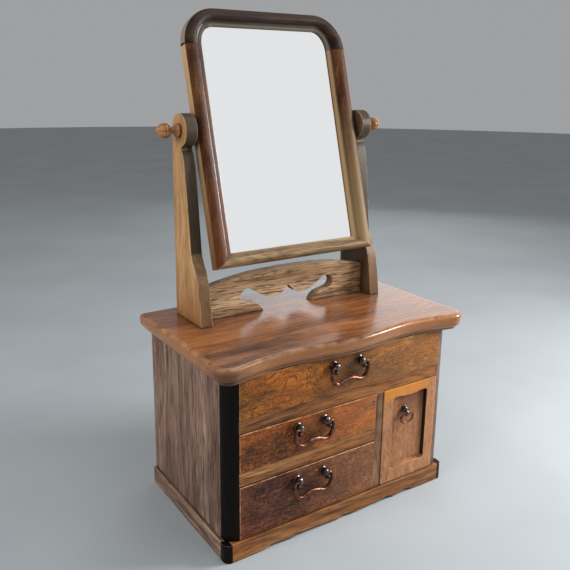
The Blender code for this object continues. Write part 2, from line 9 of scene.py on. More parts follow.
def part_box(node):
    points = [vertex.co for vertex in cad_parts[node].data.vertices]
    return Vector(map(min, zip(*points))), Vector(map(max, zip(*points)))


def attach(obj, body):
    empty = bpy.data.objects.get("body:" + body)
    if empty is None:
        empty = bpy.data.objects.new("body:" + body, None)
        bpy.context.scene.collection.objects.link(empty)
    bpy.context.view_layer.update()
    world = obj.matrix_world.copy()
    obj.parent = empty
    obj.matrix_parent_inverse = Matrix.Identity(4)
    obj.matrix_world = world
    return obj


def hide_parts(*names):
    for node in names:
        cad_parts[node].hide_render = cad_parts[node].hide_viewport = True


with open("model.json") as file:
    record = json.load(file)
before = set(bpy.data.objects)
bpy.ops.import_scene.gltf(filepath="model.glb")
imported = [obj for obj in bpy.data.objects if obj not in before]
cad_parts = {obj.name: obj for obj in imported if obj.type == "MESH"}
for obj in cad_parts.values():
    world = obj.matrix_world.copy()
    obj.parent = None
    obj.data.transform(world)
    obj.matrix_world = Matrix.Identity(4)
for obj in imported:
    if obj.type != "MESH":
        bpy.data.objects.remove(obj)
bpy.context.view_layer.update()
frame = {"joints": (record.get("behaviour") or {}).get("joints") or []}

# ---------------------------------------------------------------- plinth
# The plinth is four boards under the case, open at the back corners. The front one has a
# scalloped lower edge, sawn and then softened with a file, and the front corners are rounded
# blocks stained black like the posts above them.

MM = 0.001
PLINTH_ROUND = 1.1 * MM
SIDE_GREY = ((60, 40, 31), (104, 80, 65), (142, 114, 97), (172, 146, 128))
RAIL_TAN = ((66, 36, 16), (112, 68, 34), (152, 102, 58), (188, 138, 88))
BLACK_STAIN = ((7, 4, 3), (12, 7, 6), (18, 10, 8), (30, 18, 15))
POST_LIT_BROWN = ((48, 32, 27), (88, 66, 56), (118, 94, 82), (142, 120, 108))
# The colour of soiling and painted shade in corners and recesses.
GRIME_AND_SHADE = (66, 46, 34)
BLOCK_ROUND, BLOCK_EDGE = 9 * MM, 0.8 * MM
SIDES = (("left", -1), ("right", 1))


def colour(red, green, blue):
    """A screen colour from 0 to 255 as the linear colour that a shader takes."""
    parts = [value / 255 for value in (red, green, blue)]
    linear = [p / 12.92 if p <= 0.04045 else ((p + 0.055) / 1.055) ** 2.4 for p in parts]
    return (*linear, 1.0)


def new_finish(name):
    """A material, its shader, and a function that adds a node with its inputs wired or set."""
    material = bpy.data.materials.new(name)
    material.use_nodes = True
    tree = material.node_tree

    def add(kind, output=0, settings=None, **inputs):
        node = tree.nodes.new("ShaderNode" + kind)
        for key, value in (settings or {}).items():
            setattr(node, key, value)
        for key, value in inputs.items():
            place = int(key[1:]) if key[0] == "i" and key[1:].isdigit() else key.replace("_", " ")
            socket = node.inputs[place]
            if isinstance(value, bpy.types.NodeSocket):
                tree.links.new(value, socket)
            else:
                socket.default_value = value
        return node.outputs[output]

    return material, tree.nodes["Principled BSDF"], add, tree.links.new


def ramp(add, value, colours, stops):
    """A smooth colour band: colours at stops from 0 to 1."""
    output = add("ValToRGB", Fac=value)
    band = output.node.color_ramp
    while len(band.elements) < len(stops):
        band.elements.new(0.5)
    for element, stop, shade in zip(band.elements, stops, colours):
        element.position = stop
        element.color = shade
    return output


def maths(add, operation, first, second=0.0, clamp=False):
    return add("Math", settings={"operation": operation, "use_clamp": clamp}, i0=first, i1=second)


def blend_colours(add, mode, share, first, second):
    """Two colours mixed; share is how much of the second shows."""
    node_settings = {"data_type": "RGBA", "blend_type": mode}
    return add("Mix", 2, node_settings, i0=share, i6=first, i7=second)


def noise(add, place, scale, detail, rough=0.55, distortion=0.0):
    return add("TexNoise", Vector=place, Scale=scale, Detail=detail, Roughness=rough, Distortion=distortion)


def remap(add, value, low, high, start=0.0, end=1.0):
    """The value drawn out from low..high to start..end, and held there."""
    return add("MapRange", Value=value, i1=low, i2=high, i3=start, i4=end)


def painted(add, name):
    """A mark laid on the piece's own points: worn, dark or pale, from 0 to 1."""
    return add("Attribute", 2, {"attribute_name": name, "attribute_type": "GEOMETRY"})


def wood(name, tones, along, shift=0.0, rings=0.25, ring_gap=5.5, wander=1.0, dashes=0.3, dash_gap=2.2,
         pores=0.4, patch=None, burl=0.0, rough=0.42, coat=0.0, relief=0.25, worn=(206, 168, 126),
         wear=0.5, pale=(184, 150, 108), dark=(26, 21, 17), grime_and_shade=0.6, gloss=0.24, tint=None):
    """Wood with streaks, growth lines, coarse dashes, fine pores, worn edges, and soiling and painted shade in
    corners.

    tones run dark to pale; along is the axis the grain follows; the gaps are in millimetres.
    tint is a function that lays a last tone over the grain.
    """
    material, shader, add, link = new_finish(name)
    shades = [colour(*tone) for tone in tones]
    place = add("TexCoord", 3)
    index = "XYZ".index(along)

    def grain(stretch):
        """Coordinates drawn out along the grain."""
        scale = [1.0, 1.0, 1.0]
        scale[index] = stretch
        location = (shift * 1.7, shift * 0.9, shift * 1.3)
        return add("Mapping", Vector=place, Location=location, Scale=scale)

    streaks = noise(add, grain(0.09), 42.0, 5.0, 0.62, 0.5)
    bands = noise(add, grain(0.2), 7.0, 2.0, 0.45, 0.35 * wander)
    fibres = noise(add, grain(0.018), 700.0, 3.0, 0.65)
    counts = maths(add, "MULTIPLY", bands, 186.0 / ring_gap)
    folds = maths(add, "PINGPONG", counts, 0.5)
    lines = remap(add, folds, 0.02, 0.26, 1.0, 0.0)
    tone = maths(add, "ADD", maths(add, "MULTIPLY", streaks, 0.72), maths(add, "MULTIPLY", fibres, 0.28))
    if burl:
        blots = noise(add, grain(0.6), 21.0, 5.0, 0.6, 0.9)
        swirl = noise(add, grain(0.65), 120.0, 3.0, 0.6, 2.0)
        curls = noise(add, grain(0.5), 26.0, 4.0, 0.52, 0.9)
        mottle = maths(add, "ADD", maths(add, "MULTIPLY", blots, 0.58), maths(add, "MULTIPLY", swirl, 0.42))
        tone = add("Mix", 0, {"data_type": "FLOAT"}, i0=burl, i2=tone, i3=mottle)
        squiggles = maths(add, "PINGPONG", maths(add, "MULTIPLY", curls, 22.0), 0.5)
        lines = remap(add, squiggles, 0.04, 0.30, 1.0, 0.0)
    spread = remap(add, tone, 0.33, 0.67)
    base = ramp(add, spread, shades, (0.0, 0.34, 0.66, 1.0))
    if patch:
        cloud = noise(add, grain(0.45), 9.0, 3.0, 0.5, 0.8)
        base = blend_colours(add, "MIX", remap(add, cloud, 0.48, 0.68, 0.0, 0.75), base, colour(*patch))
    base = blend_colours(add, "MULTIPLY", maths(add, "MULTIPLY", lines, rings), base, shades[0])
    strokes = noise(add, grain(0.07), 1000.0 / dash_gap, 2.0, 0.5, 0.3)
    strokes = remap(add, strokes, 0.52, 0.66)
    base = blend_colours(add, "MULTIPLY", maths(add, "MULTIPLY", strokes, dashes), base, shades[0])
    pits = remap(add, noise(add, grain(0.045), 1150.0, 1.0), 0.58, 0.70)
    base = blend_colours(add, "MULTIPLY", maths(add, "MULTIPLY", pits, pores), base, shades[0])
    if tint:
        base = tint(add, place, base)
    base = blend_colours(add, "MIX", painted(add, "pale"), base, colour(*pale))
    base = blend_colours(add, "MIX", painted(add, "dark"), base, colour(*dark))
    scuffs = remap(add, noise(add, place, 55.0, 4.0, 0.7), 0.36, 0.58)
    share = maths(add, "MULTIPLY", maths(add, "MULTIPLY", painted(add, "worn"), wear), scuffs, True)
    base = blend_colours(add, "MIX", share, base, colour(*worn))
    # Corners, creases and recesses are darkened where little light reaches them: partly soiling, partly painted
    # shade.
    if grime_and_shade:
        open_sky = add("AmbientOcclusion", 1, {"samples": 4}, Distance=0.014)
        hollow_darkening = remap(add, open_sky, 0.25, 0.85, grime_and_shade, 0.0)
        base = blend_colours(add, "MULTIPLY", hollow_darkening, base, colour(*GRIME_AND_SHADE))
    link(base, shader.inputs["Base Color"])
    link(remap(add, streaks, 0.3, 0.7, rough - 0.06, rough + 0.09), shader.inputs["Roughness"])
    height = maths(add, "SUBTRACT", maths(add, "MULTIPLY", fibres, 0.35), maths(add, "MULTIPLY", pits, 0.6))
    height = maths(add, "SUBTRACT", height, maths(add, "MULTIPLY", strokes, dashes))
    height = maths(add, "SUBTRACT", height, maths(add, "MULTIPLY", lines, 0.5 * rings))
    link(add("Bump", Height=height, Strength=relief, Distance=0.0006), shader.inputs["Normal"])
    shader.inputs["Coat Weight"].default_value = coat
    shader.inputs["Coat Roughness"].default_value = 0.16
    shader.inputs["Specular IOR Level"].default_value = gloss
    return material


def paint(bm, name, rule):
    """Marks every point of a piece with rule(its place)."""
    layer = bm.verts.layers.float.get(name) or bm.verts.layers.float.new(name)
    for vert in bm.verts:
        vert[layer] = rule(vert.co)
    return bm


def soften(bm, width, segments=3, sharp=30):
    """Rounds every sharp edge, and marks the middle of each round as worn."""
    layer = bm.verts.layers.float.get("worn") or bm.verts.layers.float.new("worn")
    bm.normal_update()
    edges = [e for e in bm.edges if len(e.link_faces) == 2 and e.calc_face_angle() > math.radians(sharp)]
    made = bmesh.ops.bevel(bm, geom=edges, offset=width, offset_type="OFFSET", segments=segments,
                           profile=0.5, affect="EDGES", clamp_overlap=True, material=-1)
    fresh = set(made["faces"])
    for vert in made["verts"]:
        if vert.is_valid and all(face in fresh for face in vert.link_faces):
            vert[layer] = 1.0
    return bm


def block(low, high):
    """A box between two corners."""
    low, high = Vector(low), Vector(high)
    bm = bmesh.new()
    place = Matrix.Translation((low + high) / 2) @ Matrix.Diagonal((*(high - low), 1.0))
    bmesh.ops.create_cube(bm, size=1.0, matrix=place)
    return bm


def sawn(outline, axis, start, depth):
    """A shape sawn from a board: an outline of (a, b) points, extruded along an axis."""
    corner = {"X": lambda a, b: (start, a, b),
              "Y": lambda a, b: (a, start, b),
              "Z": lambda a, b: (a, b, start)}[axis]
    step = Vector([depth if name == axis else 0.0 for name in "XYZ"])
    bm = bmesh.new()
    face = bm.faces.new([bm.verts.new(corner(a, b)) for a, b in outline])
    grown = bmesh.ops.extrude_face_region(bm, geom=[face])["geom"]
    bmesh.ops.translate(bm, verts=[v for v in grown if isinstance(v, bmesh.types.BMVert)], vec=step)
    bmesh.ops.recalc_face_normals(bm, faces=bm.faces)
    return bm


def fix(name, bm, material, body, slot, *nodes):
    """Makes the bmesh a piece that rides on its body and stands for its CAD nodes."""
    bmesh.ops.recalc_face_normals(bm, faces=bm.faces)
    mesh = bpy.data.meshes.new(name)
    bm.to_mesh(mesh)
    bm.free()
    mesh.shade_smooth()
    mesh.set_sharp_from_angle(angle=math.radians(40))
    mesh.materials.append(material)
    piece = bpy.data.objects.new(name, mesh)
    bpy.context.scene.collection.objects.link(piece)
    even = piece.modifiers.new("even_normals", "WEIGHTED_NORMAL")
    even.keep_sharp = True
    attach(piece, body)
    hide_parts(*nodes)


def smooth_through(points, steps):
    """A Catmull-Rom curve through (a, b) points, with so many steps in each span."""
    points = [Vector(p) for p in points]
    ends = [2 * points[0] - points[1], *points, 2 * points[-1] - points[-2]]
    curve = []
    for a, b, c, d in zip(ends, ends[1:], ends[2:], ends[3:]):
        for i in range(steps):
            t = i / steps
            curve.append(0.5 * (2 * b + (c - a) * t + (2 * a - 5 * b + 4 * c - d) * t ** 2
                                + (3 * b - 3 * c + d - a) * t ** 3))
    return curve + [points[-1]]


side_wood = wood("side_wood", SIDE_GREY, "Z", rings=0.3, ring_gap=9.0, dashes=0.7, dash_gap=2.6, pores=0.5,
                 rough=0.5, patch=(126, 92, 78), relief=0.35)
plinth_side_wood = wood("plinth_side_wood", SIDE_GREY, "Y", shift=3.1, dashes=0.6, pores=0.6, rough=0.5)
front_wood = wood("front_wood", RAIL_TAN, "X", shift=1.2, rings=0.35, ring_gap=7.0, dashes=0.6, pores=0.5,
                  rough=0.40, patch=(160, 98, 46))
black_wood = wood("black_wood", BLACK_STAIN, "Z", rings=0.1, dashes=0.2, pores=0.2, rough=0.30, gloss=0.10,
                  wear=0.10, grime_and_shade=0.0)
# The right post is the same black-stained wood as the left; it is painted brown as painted light and reflection
# from the front right.
lit_post_wood = wood("lit_post_wood", POST_LIT_BROWN, "Z", shift=2.2, dashes=0.4, rough=0.4)

low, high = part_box("plinth_front")
SCALLOPS = ((0, 5.5), (5, 4.6), (11, 2.2), (13, 0.9), (30, 2.2), (60, 4.4), (84, 5.4), (92, 4.6), (97, 2.4),
            (100, 1.6), (112, 3.6), (126, 5.6), (133, 5.0), (138, 3.2), (146, 1.4), (156, 0.0))
half = [(p.x * MM, max(0.0, p.y * MM)) for p in smooth_through(SCALLOPS, 3)]
lower = [(-x, z) for x, z in reversed(half[1:])] + half
outline = [(low.x, 0.0), *lower, (high.x, 0.0), (high.x, high.z), (low.x, high.z)]
bm = soften(sawn(outline, "Y", low.y, high.y - low.y), PLINTH_ROUND, sharp=50)
fix("plinth_front_board", bm, front_wood, "root", "rail_wood", "plinth_front")
for side, sign in SIDES:
    node = "plinth_side_" + side
    bm = soften(block(*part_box(node)), PLINTH_ROUND)
    fix(node + "_board", bm, plinth_side_wood, "root", "side_wood", node)
    low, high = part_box("plinth_block_" + side)
    outer, inner = (low.x, high.x) if sign < 0 else (high.x, low.x)
    turn = [(outer + sign * BLOCK_ROUND * (math.sin(a) - 1), low.y + BLOCK_ROUND * (1 - math.cos(a)))
            for a in (math.radians(9 * i) for i in range(11))]
    shape = [(inner, low.y), *turn, (outer, high.y), (inner, high.y)]
    bm = soften(sawn(shape, "Z", low.z, high.z - low.z), BLOCK_EDGE, sharp=50)
    fix("plinth_corner_" + side, bm, black_wood, "root", "post_wood", "plinth_block_" + side)

# ---------------------------------------------------------------- case
# The case is a carcass of solid boards: two upright-grained sides let into black quarter-round
# corner posts, a nailed softwood back and bottom, and front rails glued to the edges of shelves.

EDGE = 0.7 * MM
INNER_PINE = ((128, 98, 66), (164, 132, 94), (188, 157, 117), (206, 178, 138))
PINE_LOOK = {"rings": 0.35, "ring_gap": 6.0, "pores": 0.15, "rough": 0.62}
DIVIDER_TAN = ((68, 46, 32), (110, 78, 56), (142, 104, 76), (170, 132, 102))
POST_EDGE = 0.5 * MM

pine_x = wood("pine_lengthwise", INNER_PINE, "X", relief=0.2, **PINE_LOOK)
pine_y = wood("pine_front_to_back", INNER_PINE, "Y", shift=2.0, **PINE_LOOK)
upright_wood = wood("divider_wood", DIVIDER_TAN, "Z", shift=4.0, rings=0.3, pores=0.5, rough=0.45)
for side, sign in SIDES:
    node = "side_panel_" + side
    fix(node + "_board", soften(block(*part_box(node)), EDGE), side_wood, "root", "side_wood", node)
    low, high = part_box("corner_post_" + side)
    inner = high.x if sign < 0 else low.x
    radius = high.x - low.x
    arc = [(inner + sign * radius * math.sin(a), high.y - radius * math.cos(a))
           for a in (math.radians(4.5 * i) for i in range(21))]
    bm = soften(sawn([(inner, high.y), *arc], "Z", low.z, high.z - low.z), POST_EDGE, sharp=50)
    # The right post is painted brown for the light and reflection it catches; its wood is black like the left.
    post_finish = black_wood if side == "left" else lit_post_wood
    fix("corner_post_round_" + side, bm, post_finish, "root", "post_wood", "corner_post_" + side)
boards = {"upper_rail": (front_wood, "rail_wood"), "middle_rail": (front_wood, "rail_wood"),
          "divider": (upright_wood, "rail_wood"), "upper_shelf": (pine_x, "inner_wood"),
          "middle_shelf": (pine_x, "inner_wood"), "bottom_board": (pine_x, "inner_wood"),
          "back_panel": (pine_x, "inner_wood"), "plinth_back": (pine_x, "side_wood")}
for node, (material, slot) in boards.items():
    fix(node + "_board", soften(block(*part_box(node)), EDGE), material, "root", slot, node)

# ---------------------------------------------------------------- top board
# One wide board, lacquered and polished red-brown. Its serpentine front and rounded corners are
# sawn, and the edge is moulded: rounded above, upright in the middle and worked away below.

TOP_RED = ((58, 31, 18), (102, 62, 38), (134, 86, 56), (160, 110, 76))
EDGE_BAND = (158, 104, 58)
CORNER = 22 * MM
CORNER_LEAD = 12.7
EDGE_STEPS = ((10.0, 0.0), (7.0, 0.0), (5.2, 0.12), (3.6, 0.45), (2.2, 1.1), (1.2, 2.0), (0.4, 3.3),
              (0.0, 5.2), (0.0, 9.0), (0.0, 13.2), (0.6, 15.4), (1.9, 17.6), (3.8, 19.8), (5.6, 21.2),
              (7.2, 21.9), (8.0, 22.3), (8.0, 23.6), (8.0, 25.0))

top_low, top_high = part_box("top_board")
front_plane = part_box("upper_rail")[0].y


def front_edge(x):
    """The serpentine front: full at the middle, hollow beside it, fullest at the corners."""
    wave = 5.5 * math.cos(math.tau * x / (230 * MM))
    return front_plane - (13 + wave + 5.5 * (x / (200 * MM)) ** 4) * MM


def top_outline(inset):
    """The board's plan, moved inwards at the front and the ends."""
    edge, radius = top_high.x - inset, CORNER - inset
    start = math.radians(-90 - CORNER_LEAD)
    turn = edge - radius + radius * math.cos(start)
    across = [-turn + 2 * turn * i / 72 for i in range(73)]
    front = [(x, front_edge(x) + inset) for x in across]
    centre_y = front[-1][1] - radius * math.sin(start)
    angles = [start - start * i / 16 for i in range(1, 17)]
    right = [(edge - radius + radius * math.cos(a), centre_y + radius * math.sin(a)) for a in angles]
    side_points = [(edge, right[-1][1] + (top_high.y - right[-1][1]) * i / 12) for i in range(1, 13)]
    half_plan = right + side_points
    return [(-x, y) for x, y in reversed(half_plan)] + front + half_plan


def loft(rings, closed=True):
    """A skin over rings of points, each with as many points as the last; closed caps both ends."""
    bm = bmesh.new()
    made = [[bm.verts.new(p) for p in ring] for ring in rings]
    for first, second in zip(made, made[1:] if closed else made[1:] + made[:1]):
        corners = zip(first, first[1:] + first[:1], second[1:] + second[:1], second)
        for corner in corners:
            bm.faces.new(corner)
    if closed:
        bm.faces.new(made[0])
        bm.faces.new(made[-1])
    bmesh.ops.recalc_face_normals(bm, faces=bm.faces)
    return bm


def moulded_edge(add, place, base):
    """The moulded edge is painted oranger than the top, from about 1.5 mm down."""
    height = add("SeparateXYZ", 2, Vector=place)
    share = remap(add, height, top_high.z - 4.5 * MM, top_high.z - 1.5 * MM, 0.55, 0.0)
    return blend_colours(add, "MIX", share, base, colour(*EDGE_BAND))


top_wood = wood("top_wood", TOP_RED, "X", shift=0.6, rings=0.3, ring_gap=8.0, dashes=0.4, dash_gap=2.8,
                pores=0.4, rough=0.25, coat=0.4, relief=0.08, patch=(156, 94, 48), worn=(206, 160, 112),
                wear=0.35, tint=moulded_edge)
rings = [[(x, y, top_high.z - drop * MM) for x, y in top_outline(inset * MM)] for inset, drop in EDGE_STEPS]
bm = loft(rings)
layer = bm.verts.layers.float.new("worn")
# The round at the top of the front and the ends is rubbed, most of all 1.4 mm down.
for vert in bm.verts:
    fall = (top_high.z - vert.co.z) / MM
    if vert.co.y < top_high.y - MM and 0.05 < fall < 4:
        vert[layer] = 1.0 - abs(fall - 1.4) / 3.2
dark_corner_spot = Vector((top_low.x + 12 * MM, top_low.y + 12 * MM, 0))


def handled(spot):
    """The front left corner is painted darkest, below its round."""
    reach = (Vector((spot.x, spot.y, 0)) - dark_corner_spot).length / MM
    return max(0.0, 0.85 - reach / 46) * min(1.0, (top_high.z - spot.z) / (9 * MM))


paint(bm, "dark", handled)
fix("top_board_moulded", bm, top_wood, "root", "top_wood", "top_board")

# ---------------------------------------------------------------- stand
# Two uprights are tenoned into the top board and carry the mirror's knobs in their round heads.
# A stretcher with an arched top and a cloud-shaped opening is let in between their feet.

UPRIGHT_TAN = ((122, 84, 48), (160, 118, 74), (184, 142, 96), (206, 168, 120))
STRETCHER_TAN = ((104, 74, 48), (162, 130, 96), (190, 158, 122), (212, 184, 148))
FOOT_RED = (134, 84, 50)
PIVOT = Vector(next(j["pos_m"] for j in frame["joints"] if j["name"] == "mirror_tilt"))


def redder_foot(add, place, base):
    """The feet are redder than the heads."""
    height = add("SeparateXYZ", 2, Vector=place)
    share = remap(add, height, top_high.z, top_high.z + 90 * MM, 0.6, 0.0)
    return blend_colours(add, "MIX", share, base, colour(*FOOT_RED))


stand_wood = wood("stand_wood", UPRIGHT_TAN, "Z", shift=5.0, rings=0.12, ring_gap=6.0, dashes=0.35,
                  dash_gap=2.0, pores=0.4, rough=0.45, dark=(40, 36, 29), tint=redder_foot)
stretcher_wood = wood("stretcher_wood", STRETCHER_TAN, "X", shift=6.3, rings=0.45, ring_gap=2.6, dashes=0.85,
                      dash_gap=2.3, pores=0.5, wander=2.6, rough=0.48, relief=0.4, patch=(166, 116, 74))
HEAD = 24 * MM
SHAFT = ((186.5, 549), (180.5, 538), (175.5, 515), (169.5, 470), (164, 421), (161.5, 401), (156, 387),
         (147.5, 374), (141.5, 360), (137.5, 342), (134.5, 325), (130.5, 295.3))
for side in ("left", "right"):
    low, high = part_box("upright_" + side)
    head = [(PIVOT.y + HEAD * math.cos(a), PIVOT.z + HEAD * math.sin(a))
            for a in (math.radians(256 * i / 52) for i in range(53))]
    shaft = [(front_plane + p.x * MM, p.y * MM) for p in smooth_through(SHAFT, 4)]
    foot = top_high.z + 0.3 * MM
    outline = head + shaft[:-1] + [(shaft[-1][0], foot), (PIVOT.y + HEAD, foot)]
    bm = soften(sawn(outline, "X", low.x, high.x - low.x), 1.2 * MM, sharp=38)

    def stain_and_inner_shade(spot):
        """The edges are dark, less so below the shoulder; the inner face is brown, partly stained and partly
        painted shade, the outer tan.
        """
        outer, inner = (low.x, high.x) if high.x < 0 else (high.x, low.x)
        if abs(spot.x - outer) < 0.5 * MM:
            return 0.0
        if abs(spot.x - inner) < 0.5 * MM:
            return 0.75
        return 0.93 if spot.z > 0.40 else 0.62

    paint(bm, "dark", stain_and_inner_shade)
    fix("upright_sawn_" + side, bm, stand_wood, "root", "stand_wood", "upright_" + side)

low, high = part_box("stretcher")
LOBE = ((0, 329.5), (6, 324), (13, 317.5), (22, 314.8), (33, 315.2), (45, 319), (57, 325.5), (67, 332),
        (77, 335), (85.5, 330), (88.5, 322), (84, 314.5), (73, 311), (59, 307.5), (51, 302))
ARCH_ENDS, ARCH_RISE, ARCH_FULLNESS = 345, 15.5, 1.35
opening = [(p.x * MM, p.y * MM) for p in smooth_through(LOBE, 5)] + [(46.5 * MM, low.z)]
arch = [(high.x * t, (ARCH_ENDS + ARCH_RISE * math.cos(math.pi / 2 * abs(t) ** ARCH_FULLNESS)) * MM)
        for t in (1 - i / 24 for i in range(49))]
left = [(-x, z) for x, z in reversed(opening[1:])]
outline = [(high.x, low.z), *arch, (low.x, low.z), *left, *opening]
bm = soften(sawn(outline, "Y", low.y, high.y - low.y), 0.8 * MM, sharp=50)
fix("stretcher_pierced", bm, stretcher_wood, "root", "stretcher_wood", "stretcher")

# ---------------------------------------------------------------- mirror frame
# The mirror hangs in a moulded frame: a top rail that turns both corners, two stiles and a bottom
# rail mitred to them. The plate lies in the rebate with a softwood board behind it.

MIRROR_RED = ((34, 18, 11), (66, 38, 22), (92, 58, 34), (120, 82, 52))
MIRROR_DARK = ((18, 12, 9), (36, 24, 18), (54, 36, 26), (74, 56, 44))
MIRROR_TAN = ((80, 56, 34), (118, 92, 62), (148, 120, 84), (172, 146, 108))
LOW_RED, LOW_RIGHT_TAN = (122, 68, 36), (142, 122, 88)
LEAN = math.radians(-15.7)
HUNG = Matrix.Translation(PIVOT) @ Matrix.Rotation(LEAN, 4, "X")
HALF_WIDTH, TOP, BOTTOM, CORNER_RADIUS = 145 * MM, 177 * MM, -205 * MM, 55 * MM
SIDE_BAR, TOP_BAR, BOTTOM_BAR = 31 * MM, 24.5 * MM, 21 * MM
JOINT = 125 * MM
MOULDING = ((0, -5), (0, 2), (0, 7.0), (0.25, 7.8), (0.9, 8.7), (2.4, 10.3), (4.8, 12.0), (7.8, 13.2),
            (11, 13.6), (14, 13.2), (17, 12.0), (19.2, 10.4), (21.0, 8.3), (21.7, 6.8), (22.0, 5.7),
            (22.8, 5.6), (25.2, 5.1), (28, 4.0), (30.2, 2.3), (31, 0.6), (31, -0.5), (25, -0.5),
            (25, -5))
SIDE_FACE, SLIP = range(0, 4), range(17, 20)


def frame_point(place, inset):
    """A point of the mirror frame's face, moved inwards from a place on its outline."""
    share = inset / SIDE_BAR
    half, radius = HALF_WIDTH - inset, CORNER_RADIUS - inset
    top, bottom = TOP - share * TOP_BAR, BOTTOM + share * BOTTOM_BAR
    kind, side, value = place
    if kind == "side":
        return side * half, value
    if kind == "corner":
        rise = radius + (SIDE_BAR - TOP_BAR) * share
        angle = math.radians(value)
        return side * (half - radius + radius * math.cos(angle)), top - rise + rise * math.sin(angle)
    if kind == "top":
        return value * (half - radius), top
    return side * half + value, bottom


def bar(places):
    """The moulding carried along a row of places, turned and set on the mirror's axis."""
    rings = []
    for place in places:
        ring = []
        for inset, lift in MOULDING:
            x, h = frame_point(place, inset * MM)
            ring.append(HUNG @ Vector((x, -lift * MM, h)))
        rings.append(ring)
    bm = loft(rings)
    # The side face is painted pale above the knobs, and the slip by the glass is pale too, but for the left
    # one.
    layer = bm.verts.layers.float.new("pale")
    for number, vert in enumerate(bm.verts):
        step = number % len(MOULDING)
        slip = 0.5 if vert.co.x > -0.10 else 0.0
        side = 0.85 if vert.co.z > PIVOT.z else 0.1
        vert[layer] = side if step in SIDE_FACE else slip if step in SLIP else 0.0
    return bm


def lower_tones(add, place, base):
    """Lower down the stiles are redder, and the right one turns tan."""
    across = add("SeparateXYZ", 0, Vector=place)
    height = add("SeparateXYZ", 2, Vector=place)
    base = blend_colours(add, "MIX", remap(add, height, 0.42, 0.56, 0.2, 0.0), base, colour(*LOW_RED))
    share = maths(add, "MULTIPLY", remap(add, height, 0.40, 0.62, 0.8, 0.0), remap(add, across, 0.05, 0.10))
    return blend_colours(add, "MIX", share, base, colour(*LOW_RIGHT_TAN))


mirror_wood = wood("mirror_wood", MIRROR_RED, "Z", shift=7.7, rings=0.2, ring_gap=5.0, pores=0.5, rough=0.5,
                   gloss=0.12, pale=(190, 156, 114), tint=lower_tones)
top_rail_wood = wood("mirror_top_rail_wood", MIRROR_DARK, "X", shift=8.3, rings=0.2, ring_gap=5.0, pores=0.4,
                     rough=0.46, gloss=0.15, pale=(134, 128, 110))
low_rail_wood = wood("mirror_low_rail_wood", MIRROR_TAN, "X", shift=8.9, rings=0.3, ring_gap=4.0, dashes=0.5,
                     pores=0.5, rough=0.40, pale=(168, 146, 104))
angles = [90 - 4.5 * i for i in range(1, 21)]
gap = 0.08 * MM
right = [("corner", 1, a) for a in angles] + [("side", 1, JOINT + gap)]
left = [("side", -1, JOINT + gap)] + [("corner", -1, a) for a in reversed(angles)]
middle = [("top", 0, -1 + 2 * i / 8) for i in range(9)]
bm = bar([*left, *middle, *right])
fix("mirror_top_rail_moulded", bm, top_rail_wood, "mirror", "mirror_wood", "mirror_top_rail")
for side, sign in SIDES:
    bm = bar([("side", sign, JOINT - gap), ("bottom", sign, 0.0)])
    fix("mirror_stile_moulded_" + side, bm, mirror_wood, "mirror", "mirror_wood", "mirror_stile_" + side)
bm = bar([("bottom", 1, -2 * gap), ("bottom", -1, 2 * gap)])
fix("mirror_bottom_rail_moulded", bm, low_rail_wood, "mirror", "mirror_wood", "mirror_bottom_rail")


def panel(inset, front, back):
    """A flat panel inside the frame's outline, between two depths behind the frame's face."""
    right = [frame_point(("corner", 1, 90 - 6 * i), inset) for i in range(16)]
    left = [(-x, h) for x, h in reversed(right)]
    low_x, low_h = frame_point(("bottom", 1, 0.0), inset)
    bm = sawn([*left, *right, (low_x, low_h), (-low_x, low_h)], "Y", front, back - front)
    bmesh.ops.transform(bm, matrix=HUNG, verts=bm.verts)
    return bm


silver, shader, add, link = new_finish("mirror_plate")
shader.inputs["Metallic"].default_value = 1.0
shader.inputs["Base Color"].default_value = (0.93, 0.935, 0.94, 1.0)
haze = add("TexNoise", Vector=add("TexCoord", 3), Scale=14.0, Detail=3.0)
link(add("MapRange", Value=haze, i1=0.35, i2=0.7, i3=0.015, i4=0.045), shader.inputs["Roughness"])
fix("mirror_plate", panel(25.4 * MM, 0.8 * MM, 3.7 * MM), silver, "mirror", "mirror_glass", "mirror_glass")
pine_z = wood("pine_upright", INNER_PINE, "Z", shift=9.0, **PINE_LOOK)
bm = soften(panel(6 * MM, 5.3 * MM, 9.8 * MM), 0.6 * MM)
fix("mirror_back_board", bm, pine_z, "mirror", "inner_wood", "mirror_back")

# ---------------------------------------------------------------- knobs
# A turned knob on each side clamps the mirror: a collar against the upright's head, a thin neck
# and a grooved ball, polished by handling. Its shank runs through the head into the stile.

KNOB_BROWN = ((70, 36, 18), (130, 84, 50), (166, 116, 74), (196, 148, 100))
KNOB = ((-43, 0), (-43, 4), (0.4, 4), (0.4, 7.6), (0.9, 9.4), (1.9, 10.3), (2.6, 10.0), (3.0, 10.4),
        (4.4, 10.3), (5.2, 9.4), (5.6, 8.6), (6.2, 8.4), (7.2, 6.6), (9.0, 4.6), (11.5, 4.0),
        (13.4, 4.7), (14.6, 6.4), (15.4, 8.0), (16.0, 8.4), (16.6, 9.4), (18.0, 10.4), (19.3, 10.9),
        (19.8, 10.1), (20.4, 10.1), (20.9, 11.0), (23.3, 11.0), (23.8, 10.0), (24.4, 10.0),
        (24.9, 10.7), (27.4, 9.9), (29.8, 8.4), (31.8, 6.4), (33.2, 4.2), (34.0, 2.6), (34.9, 2.2),
        (35.7, 1.3), (36, 0))


